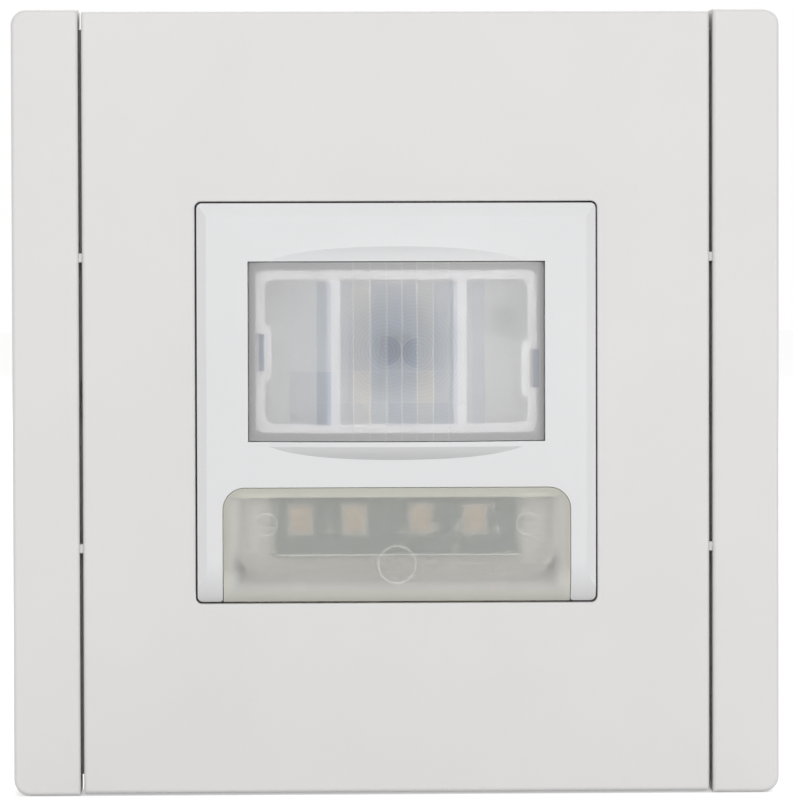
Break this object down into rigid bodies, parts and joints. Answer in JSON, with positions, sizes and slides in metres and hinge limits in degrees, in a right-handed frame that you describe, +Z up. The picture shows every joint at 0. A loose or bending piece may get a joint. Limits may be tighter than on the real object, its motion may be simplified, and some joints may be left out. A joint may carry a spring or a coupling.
{
  "type": "motion sensor light switch",
  "caption": "Square flush wall switch with a milky faceted motion lens above a translucent night-light window, in a clip-on plate with side rails.",
  "frame": {"origin": "on the wall plane, midway between the two level fixing slots", "axes": "+X right, +Z up, -Y out of the wall towards the room"},
  "size_m": [0.086, 0.0395, 0.088],
  "materials": {
    "plate_white": "satin white moulding",
    "cover_white": "satin white moulding",
    "lens_milky": "translucent milky, finely ridged inside",
    "window_smoke": "translucent grey beige",
    "inner_white": "plain white moulding",
    "frame_grey": "plain moulding",
    "board_green": "green lacquer",
    "led_white": "white body",
    "phosphor": "yellow gel",
    "pin_gold": "plated pins",
    "can_metal": "nickel plated",
    "filter_dark": "dark coated window",
    "cell_clear": "clear resin",
    "chip_black": "moulded resin",
    "screw_steel": "zinc plated",
    "relay_cover": "moulded cover",
    "coil_copper": "enamelled copper winding",
    "film_yellow": "moulded case",
    "can_sleeve": "shrunk sleeve",
    "varistor_blue": "dipped disc",
    "fuse_green": "coated rod",
    "trimmer_blue": "moulded body",
    "dial_white": "plain white moulding",
    "housing_grey": "fine textured light grey",
    "block_grey": "moulded grey",
    "bar_brass": "plain",
    "clamp_steel": "zinc plated"
  },
  "bodies": {
    "wall_unit": {"support_frame": "frame_grey", "front_bezel": "cover_white", "fresnel_lens": "lens_milky", "lens_retainer": "inner_white", "light_window": "window_smoke", "light_reflector": "inner_white", "led_board": "board_green", "led_packages": "led_white", "led_phosphors": "phosphor", "led_header": "pin_gold", "pir_sensor": "can_metal", "pir_filter": "filter_dark", "sensor_shroud": "inner_white", "light_cell": "cell_clear", "control_chip": "chip_black", "sensor_board": "board_green", "board_screws": "screw_steel", "board_connector": "chip_black", "power_board": "board_green", "relay_base": "chip_black", "relay_cover": "relay_cover", "relay_coil": "coil_copper", "relay_yoke": "clamp_steel", "relay_contact": "bar_brass", "film_capacitor": "film_yellow", "electrolytic_capacitor": "can_sleeve", "varistor": "varistor_blue", "fuse_resistor": "fuse_green", "trimmers": "trimmer_blue", "rear_housing": "housing_grey", "terminal_block": "block_grey", "contact_bars": "bar_brass"},
    "cover_plate": {"centre_panel": "plate_white", "left_rail": "plate_white", "right_rail": "plate_white", "plate_carrier": "frame_grey"},
    "lux_dial": {"lux_dial": "dial_white"},
    "time_dial": {"time_dial": "dial_white"},
    "line_screw": {"line_screw": "screw_steel"},
    "neutral_screw": {"neutral_screw": "screw_steel"},
    "load_screw": {"load_screw": "screw_steel"},
    "line_clamp": {"line_clamp": "clamp_steel"},
    "neutral_clamp": {"neutral_clamp": "clamp_steel"},
    "load_clamp": {"load_clamp": "clamp_steel"},
    "relay_armature": {"relay_armature": "clamp_steel"}
  },
  "joints": [
    {"name": "cover_pull", "type": "slide", "parent": "wall_unit", "child": "cover_plate", "axis": [0, -1, 0], "range_m": [0, 0.02]},
    {"name": "lux_turn", "type": "hinge", "parent": "wall_unit", "child": "lux_dial", "pos_m": [0.009, 0.026, 0.011], "axis": [0, 1, 0], "range_deg": [-135, 135]},
    {"name": "time_turn", "type": "hinge", "parent": "wall_unit", "child": "time_dial", "pos_m": [-0.009, 0.026, 0.011], "axis": [0, 1, 0], "range_deg": [-135, 135]},
    {"name": "line_turn", "type": "hinge", "parent": "wall_unit", "child": "line_screw", "pos_m": [-0.009, 0.0212, -0.018], "axis": [0, 0, 1], "range_deg": [0, 1440]},
    {"name": "line_rise", "type": "slide", "parent": "wall_unit", "child": "line_clamp", "axis": [0, 0, -1], "range_m": [0, 0.0024]},
    {"name": "neutral_turn", "type": "hinge", "parent": "wall_unit", "child": "neutral_screw", "pos_m": [0, 0.0212, -0.018], "axis": [0, 0, 1], "range_deg": [0, 1440]},
    {"name": "neutral_rise", "type": "slide", "parent": "wall_unit", "child": "neutral_clamp", "axis": [0, 0, -1], "range_m": [0, 0.0024]},
    {"name": "load_turn", "type": "hinge", "parent": "wall_unit", "child": "load_screw", "pos_m": [0.009, 0.0212, -0.018], "axis": [0, 0, 1], "range_deg": [0, 1440]},
    {"name": "load_rise", "type": "slide", "parent": "wall_unit", "child": "load_clamp", "axis": [0, 0, -1], "range_m": [0, 0.0024]},
    {"name": "armature_tilt", "type": "hinge", "parent": "wall_unit", "child": "relay_armature", "pos_m": [-0.00565, 0.01255, 0.0034], "axis": [0, 0, -1], "range_deg": [0, 4], "stiffness_Nm_per_rad": 0.002, "springref_deg": -5.73}
  ],
  "couplings": [
    {"joint": "line_turn", "follows": "line_rise", "rad_per_m": 10472},
    {"joint": "neutral_turn", "follows": "neutral_rise", "rad_per_m": 10472},
    {"joint": "load_turn", "follows": "load_rise", "rad_per_m": 10472}
  ]
}
